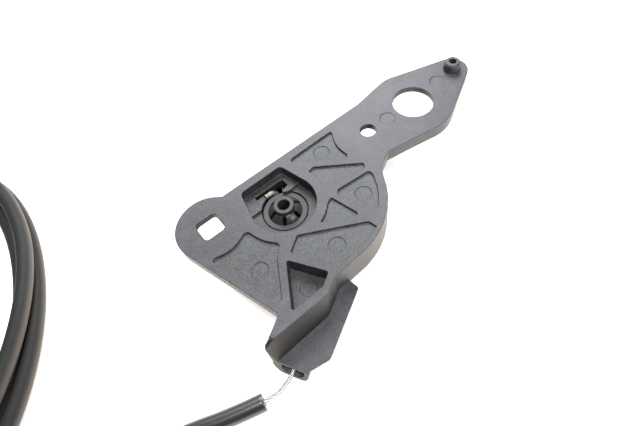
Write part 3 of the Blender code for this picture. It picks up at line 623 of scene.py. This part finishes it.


# %% [markdown]
# ## Zinc on the wire
# The strand is galvanised steel. Zinc has a fine spangle of lighter and duller grains. The grooves
# between the wires, which the tree's attribute marks, are painted dark: painted shade.

# %% Wire finish
def wire_finish():
    finish = Finish("galvanised_strand")
    spangle = finish.noise(0.0012, 3.0, 0.6)
    dull = finish.noise(0.005, 3.0, 0.5)
    groove = finish.node("ShaderNodeAttribute", {"attribute_name": "groove"}, out="Fac")
    zinc = finish.blend(spangle, (0.32, 0.34, 0.34), (0.54, 0.56, 0.55))
    # Painted shade: the grooves between the wires are painted dark
    colour = finish.blend(groove.band(0.4, 1.0), zinc, (0.14, 0.15, 0.14))
    return finish.set(
        Base_Color=colour,
        Metallic=0.9,
        Roughness=0.30 + dull * 0.22,
        Normal=finish.bump(spangle, 0.01 * MM),
    )


galvanised = wire_finish()
print("wire finish:", galvanised.name)

# %% [markdown]
# ## Three stretches of wire
# One wire runs through the whole cable, but it shows in three places. It lies in the groove of the
# lever's sector. It crosses from the bracket's mouth to the sheath, which has drawn back. At the far end
# it comes out of the latch fitting. The first and last stretches move with the lever and with the latch,
# so each stretch is its own piece. The first two start from one line: the cable's direction at the mouth,
# which is tangent to the sector.

# %% The wire's line
# Millimetres left free between pieces that end beside each other
GAP = 0.3
CABLE_ANGLE = 28.1
along = Vector((math.cos(math.radians(CABLE_ANGLE)), math.sin(math.radians(CABLE_ANGLE)), 0.0))
left = Vector((-along.y, along.x, 0.0))
mouth = Vector((-31.3, -43.6, 2.85)) * MM
wrap_radius = abs(mouth.x * along.y - mouth.y * along.x)
tunnel_long = math.sqrt(mouth.xy.length**2 - wrap_radius**2) / MM
print("sector radius", round(wrap_radius / MM, 2), "mm, tunnel", round(tunnel_long, 1), "mm")


def at_mouth(ahead, side=0.0):
    """A place ahead of the mouth, towards the lever, and to the left of it, in millimetres."""
    return mouth + (along * ahead + left * side) * MM


def wire_piece(name, route, body, stands_for):
    piece = as_mesh(path_object(route), name, strand, Material=galvanised)
    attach(piece, body)
    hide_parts(stands_for)
    print(name, len(piece.data.polygons), "faces")
    return piece


# %% [markdown]
# The bare stretch runs straight through the tunnel. Outside it bends to the left, because the sheath's
# end lies a little to that side, and its last point is inside the sheath's bore.

# %% Bare stretch
OUTSIDE = ((-2.2, 0.0), (-4.0, 0.25), (-6.5, 0.95), (-9.0, 2.05))
IN_SHEATH = 1.2 * MM
BARE_STEPS = 12
bare_route = [at_mouth((tunnel_long - GAP) * (1 - k / BARE_STEPS)) for k in range(BARE_STEPS + 1)]
bare_route += [at_mouth(ahead, side) for ahead, side in OUTSIDE]
bare_route += [lead[0], lead[0] + (lead[1] - lead[0]).normalized() * IN_SHEATH]
bare_route = smooth_route(bare_route, 4)
bare = wire_piece("bare_strand", bare_route, "base", "bare_wire")

# %% [markdown]
# The stretch on the sector is an arc from the nipple to the place where the wire leaves the groove. The
# stretch at the latch is straight, from inside the end fitting to its nipple.

# %% Stretches on the sector and at the latch
NIPPLE_TURN, NIPPLE_REACH = -24.0, 2.3 * MM
NIPPLE_END = NIPPLE_TURN - math.degrees(NIPPLE_REACH / wrap_radius)
SECTOR_STEPS = 24
sector_route = []
for k in range(SECTOR_STEPS + 1):
    turn = math.radians(NIPPLE_END + (CABLE_ANGLE - 90 - NIPPLE_END) * k / SECTOR_STEPS)
    sector_route.append(Vector((wrap_radius * math.cos(turn), wrap_radius * math.sin(turn), mouth.z)))
wire_piece("sector_strand", sector_route, "lever", "sector_wire")

FITTING_LONG = 31.0
LATCH_WIRE_IN, LATCH_WIRE_OUT = -3.5, 31.0
LATCH_STEPS = 8
x, y, z = TAIL_ROUTE[-1]
nose = y + GAP + FITTING_LONG
latch_ends = []
for reach in (LATCH_WIRE_IN, LATCH_WIRE_OUT):
    latch_ends.append(coil_frame @ (Vector((x, nose + reach, z)) * MM))
latch_route = [latch_ends[0].lerp(latch_ends[1], k / LATCH_STEPS) for k in range(LATCH_STEPS + 1)]
latch = wire_piece("latch_strand", latch_route, "latch_end", "latch_wire")

# %% [markdown]
# ## Rounding the mouldings' edges
# A mould has no sharp edges, and a picture shows the thin bright line that a rounded edge catches. The
# CAD solids come as loose triangles. So each is copied and merged first, and its flat faces are joined up
# again.

# %% A clean copy of a solid
MERGED_WITHIN, SLIVER, FLAT_WITHIN = 0.002 * MM, 0.02 * MM, 0.5


def merged_copy(name):
    shape = bmesh.new()
    shape.from_mesh(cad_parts[name].data)
    bmesh.ops.remove_doubles(shape, verts=shape.verts, dist=MERGED_WITHIN)
    bmesh.ops.dissolve_degenerate(shape, dist=SLIVER, edges=shape.edges)
    flat = math.radians(FLAT_WITHIN)
    bmesh.ops.dissolve_limit(shape, angle_limit=flat, verts=shape.verts, edges=shape.edges)
    return shape


# %% [markdown]
# Then every edge that turns sharply gets a small round. A Bevel modifier would round the facets of the
# curved walls as well, so the sharp edges are picked by their angle. A Weighted Normal modifier keeps the
# flat faces flat in the light, and its result is kept as a plain mesh.

# %% Edge rounding
def weighted(name, mesh):
    """An object whose normals follow its large faces."""
    piece = bpy.data.objects.new(name, mesh)
    scene.collection.objects.link(piece)
    modifier = piece.modifiers.new("weighted_normal", "WEIGHTED_NORMAL")
    modifier.keep_sharp = True
    modifier.weight = 80
    bpy.context.view_layer.update()
    graph = bpy.context.evaluated_depsgraph_get()
    done = bpy.data.meshes.new_from_object(piece.evaluated_get(graph))
    piece.modifiers.clear()
    piece.data = done
    return piece


def dressed(name, body, material, width, sharp=35.0):
    """A copy of a CAD node with rounded edges, which takes the node's place."""
    shape = merged_copy(name)
    hard = [e for e in shape.edges if e.is_manifold and e.calc_face_angle(0.0) > math.radians(sharp)]
    bmesh.ops.bevel(
        shape, geom=hard, offset=width, segments=2, profile=0.5, affect="EDGES", clamp_overlap=False
    )
    mesh = bpy.data.meshes.new(name + "_moulding")
    shape.to_mesh(mesh)
    shape.free()
    mesh.shade_smooth()
    piece = weighted(name + "_moulding", mesh)
    piece.data.materials.clear()
    piece.data.materials.append(material)
    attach(piece, body)
    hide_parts(name)
    print(piece.name, len(piece.data.polygons), "faces")
    return piece


# %% [markdown]
# ## Moulded nylon
# The bracket is nylon filled with short glass fibres. The mould's face is spark eroded, so the skin has
# an even grain finer than a millimetre. Fibres near the skin show as pale specks, and the flow of the
# melt leaves broad, faint clouds. Only the fine grain needs relief; the clouds are in the colour and the
# gloss. The grain is strong on the pockets' floors round the hub. It is weaker on the ribs' tops, which
# get rubbed, and on the arm and the lug, which the mould leaves smoother. The arm and the lug are also
# painted lighter and bluer: a painted sheen. The hub's recess, the sloping wall over the cable and the
# cable's bore are painted near black: painted shade. Masks for all these come from the place on the
# part: how high it is, how far across, or how far from a point. Each mask fades over a short stretch, so
# each limit is a pair.

# %% Places on the bracket
HUB_CENTRE = (0.0, 0.0, 0.0)
RECESS_RADIUS = (19 * MM, 22 * MM)
RECESS_TOP = (13.5 * MM, 16.5 * MM)
RAMP_CENTRE = (-20 * MM, -37.5 * MM, 12 * MM)
RAMP_RADIUS = (13 * MM, 18 * MM)
RAMP_SIDE = (-35.6 * MM, -35.0 * MM)
RAMP_FOOT = (6.4 * MM, 7.0 * MM)
BORE_CENTRE = (-27.8 * MM, -41.7 * MM, 2.85 * MM)
BORE_RADIUS = (3.3 * MM, 4.2 * MM)
BORE_TOP = (4.8 * MM, 5.4 * MM)
RIB_TOPS = (17.3 * MM, 17.7 * MM)
ARM_AND_LUG = (32 * MM, 44 * MM)


def painted_shade_mask(finish, height, rubbed):
    """A mask of painted shade: the hub's recess, the sloping wall over the cable and the cable's bore."""
    recess = 1.0 - finish.distance(HUB_CENTRE).band(*RECESS_RADIUS)
    recess = recess * (1.0 - height.band(*RECESS_TOP))
    across = finish.node("ShaderNodeSeparateXYZ", {}, {0: finish.place}, out="Y")
    ramp = 1.0 - finish.distance(RAMP_CENTRE).band(*RAMP_RADIUS)
    ramp = ramp * (1.0 - across.band(*RAMP_SIDE))
    ramp = ramp * height.band(*RAMP_FOOT) * (1.0 - rubbed)
    bore = 1.0 - finish.distance(BORE_CENTRE).band(*BORE_RADIUS)
    bore = bore * (1.0 - height.band(*BORE_TOP))
    return recess * 0.7 + ramp * 0.8 + bore * 0.9


print("hub to ramp:", round(math.dist(HUB_CENTRE[:2], RAMP_CENTRE[:2]) / MM, 1), "mm")

# %% [markdown]
# The finish joins three noises: clouds of some 18 mm, a mottle of 2 mm and the grain of a third of a
# millimetre. A fourth, finer one is cut high, so that only its peaks show, as the ends of fibres do.

# %% Nylon
def nylon_finish():
    finish = Finish("grained_nylon")
    clouds = finish.noise(0.018, 3.0, 0.5)
    mottle = finish.noise(0.0022, 3.0, 0.6)
    grain = finish.noise(0.00032, 2.0, 0.7)
    fibres = finish.noise(0.00023, 1.0, 0.5).band(0.62, 0.76)
    height = finish.node("ShaderNodeSeparateXYZ", {}, {0: finish.place}, out="Z")
    rubbed = height.band(*RIB_TOPS)
    smoother_and_sheen = finish.distance(HUB_CENTRE).band(*ARM_AND_LUG)
    grained = (1.0 - smoother_and_sheen * 0.5) * (1.0 - rubbed * 0.3)
    tone = (grain - 0.5) * grained * 0.9 + (mottle - 0.5) * 0.3 + (clouds - 0.5) * 0.2 + 0.5
    # The arm and the lug get a lighter, bluer colour: a painted sheen, beside their weaker grain
    low = finish.blend(smoother_and_sheen, (0.0135, 0.014, 0.0155), (0.019, 0.020, 0.023))
    high = finish.blend(rubbed, (0.046, 0.048, 0.050), (0.047, 0.047, 0.054))
    high = finish.blend(smoother_and_sheen, high, (0.066, 0.067, 0.076))
    dark = finish.blend(tone.band(0.36, 0.64), low, high)
    # Painted shade: the hub's recess, the sloping wall over the cable and the cable's bore are painted
    # near black
    dark = finish.blend(painted_shade_mask(finish, height, rubbed), dark, (0.006, 0.006, 0.006))
    colour = finish.blend(fibres * grained * 0.7, dark, (0.15, 0.15, 0.155))
    return finish.set(
        Base_Color=colour,
        Roughness=0.44 + mottle * 0.10 + grain * 0.08,
        Normal=finish.bump(grain * grained * 0.7 + mottle * 0.3, 0.10 * MM),
    )


dressed("bracket", "base", nylon_finish(), 0.22 * MM)

# %% [markdown]
# ## Smooth acetal
# The hub, the lever, the coil's tie and the latch fitting are acetal, which needs no filler and comes out
# of a polished mould. It is darker and glossier than the bracket, with only a trace of wear. The hub's
# flange and tube are dull where they turn in their seat, and only its dome, a ring round the axis, keeps
# the polish.

# %% Acetal
DOME_FROM, DOME_TO = 3.8 * MM, 6.3 * MM


def acetal_finish(name, low, high, rough, polished=0.0):
    """polished is how much smoother the dome is than the rest."""
    finish = Finish(name)
    clouds = finish.noise(0.006, 3.0, 0.5)
    haze = finish.noise(0.0009, 3.0, 0.6)
    level = {0: finish.place, 1: (1.0, 1.0, 0.0)}
    flat = finish.node("ShaderNodeVectorMath", {"operation": "MULTIPLY"}, level)
    reach = finish.node("ShaderNodeVectorMath", {"operation": "LENGTH"}, {0: flat}, out="Value")
    dome = reach.band(DOME_FROM, DOME_FROM + 0.1 * MM) - reach.band(DOME_TO, DOME_TO + 0.1 * MM)
    return finish.set(
        Base_Color=finish.blend(clouds.band(0.3, 0.7), low, high),
        Roughness=rough + haze * 0.12 + clouds * 0.08 - dome * polished,
        Normal=finish.bump(haze, 0.008 * MM),
    )


acetal = acetal_finish("smooth_acetal", (0.022, 0.022, 0.023), (0.036, 0.037, 0.039), 0.50, 0.22)
black_acetal = acetal_finish("black_acetal", (0.012, 0.012, 0.013), (0.022, 0.022, 0.024), 0.30)
dressed("pivot_hub", "lever", acetal, 0.08 * MM)
dressed("release_lever", "lever", black_acetal, 0.2 * MM)
dressed("end_fitting", "base", black_acetal, 0.2 * MM)
dressed("coil_tie", "base", black_acetal, 0.2 * MM)

# %% [markdown]
# ## Cast nipples
# The wire's ends are held by nipples of zinc, die cast round the strand. Cast zinc is duller than drawn
# wire and stains in patches, so two noises are enough: a fine one for relief and gloss, a broad one for
# colour.

# %% Zinc nipples
def zinc_finish():
    finish = Finish("cast_zinc")
    cast = finish.noise(0.0006, 4.0, 0.6)
    stain = finish.noise(0.002, 3.0, 0.5)
    return finish.set(
        Base_Color=finish.blend(stain, (0.36, 0.35, 0.33), (0.60, 0.59, 0.57)),
        Metallic=0.85,
        Roughness=0.36 + cast * 0.2,
        Normal=finish.bump(cast, 0.02 * MM),
    )


zinc = zinc_finish()
dressed("lever_nipple", "lever", zinc, 0.12 * MM)
dressed("latch_nipple", "latch_end", zinc, 0.12 * MM)

# %% [markdown]
# ## The return spring
# The spring is cold-wound steel wire. Its hook stands in the bracket's window and shows one cut end,
# sheared and browned. The wire is redrawn as a finer tube along the same route as the CAD rod.

# %% The spring's route
SPRING_WIRE, SPRING_RADIUS, SPRING_TURNS = 2.2, 9.1, 1.45
SPRING_START, SPRING_PITCH = 76.0, 2.35
SPRING_LOW, SPRING_HIGH = 6.1, 8.5
SPRING_STEPS = 48
SPRING_HOOK = [
    (-2.1, 9.6, 12.8),
    (-0.6, 9.6, 12.8),
    (0.8, 9.6, 12.7),
    (1.6, 9.5, 12.3),
    (2.0, 9.3, 11.5),
    (2.15, 8.95, 10.4),
    (2.2, 8.84, 9.4),
]
SPRING_LEG = ((1.6, 0.7), (2.6, 2.2), (3.0, 6.0))


def spring_route():
    """The hook, the coils down to the lowest level, and the leg that leaves them ahead and outwards."""
    coils = []
    for k in range(1, SPRING_STEPS + 1):
        turns = SPRING_TURNS * k / SPRING_STEPS
        angle = math.radians(SPRING_START - 360 * turns)
        height = max(SPRING_LOW, SPRING_HIGH - SPRING_PITCH * turns)
        coils.append((SPRING_RADIUS * math.cos(angle), SPRING_RADIUS * math.sin(angle), height))
    end = Vector(coils[-1])
    outwards = Vector((end.x, end.y, 0.0)).normalized()
    ahead = Vector((outwards.y, -outwards.x, 0.0))
    leg = [end + ahead * on + outwards * off for on, off in SPRING_LEG]
    return [Vector(point) * MM for point in SPRING_HOOK + coils + leg]


spring_path = smooth_route(spring_route(), 3)
print("spring wire:", round(path_length(spring_path) / MM, 1), "mm")

# %% [markdown]
# Drawn steel is grey and bright along the wire, but the hook's cut end has browned. Broad stains in the
# colour and a fine drawn texture in the gloss give both. The cut end is rounded a little, as a shear
# leaves it.

# %% Spring
def spring_finish():
    finish = Finish("spring_steel")
    drawn = finish.noise(0.0008, 3.0, 0.6)
    stain = finish.noise(0.0011, 3.0, 0.6)
    return finish.set(
        Base_Color=finish.blend(stain.band(0.42, 0.66), (0.30, 0.27, 0.235), (0.085, 0.05, 0.035)),
        Metallic=0.8,
        Roughness=0.48 + drawn * 0.2,
        Normal=finish.bump(drawn, 0.01 * MM),
    )


spring_radius = SPRING_WIRE / 2 * MM
cut_end = [
    (0.0, spring_radius - 0.2 * MM),
    (0.06 * MM, spring_radius - 0.06 * MM),
    (0.2 * MM, spring_radius),
]
spring = sweep("spring_wire", spring_path, spring_radius, 24, cut_end)
spring.data.materials.append(spring_finish())
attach(spring, "base")
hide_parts("return_spring")

# %% [markdown]
# ## The cords' lengths
# The wire on the sector isn't free: it turns with the lever as a rigid piece.

round(path_length(sheath_path), 3)
round(path_length(bare_route), 4)
round(path_length(latch_route), 4)
print("cords, m:", [round(path_length(path), 4) for path in (sheath_path, bare_route, latch_route)])
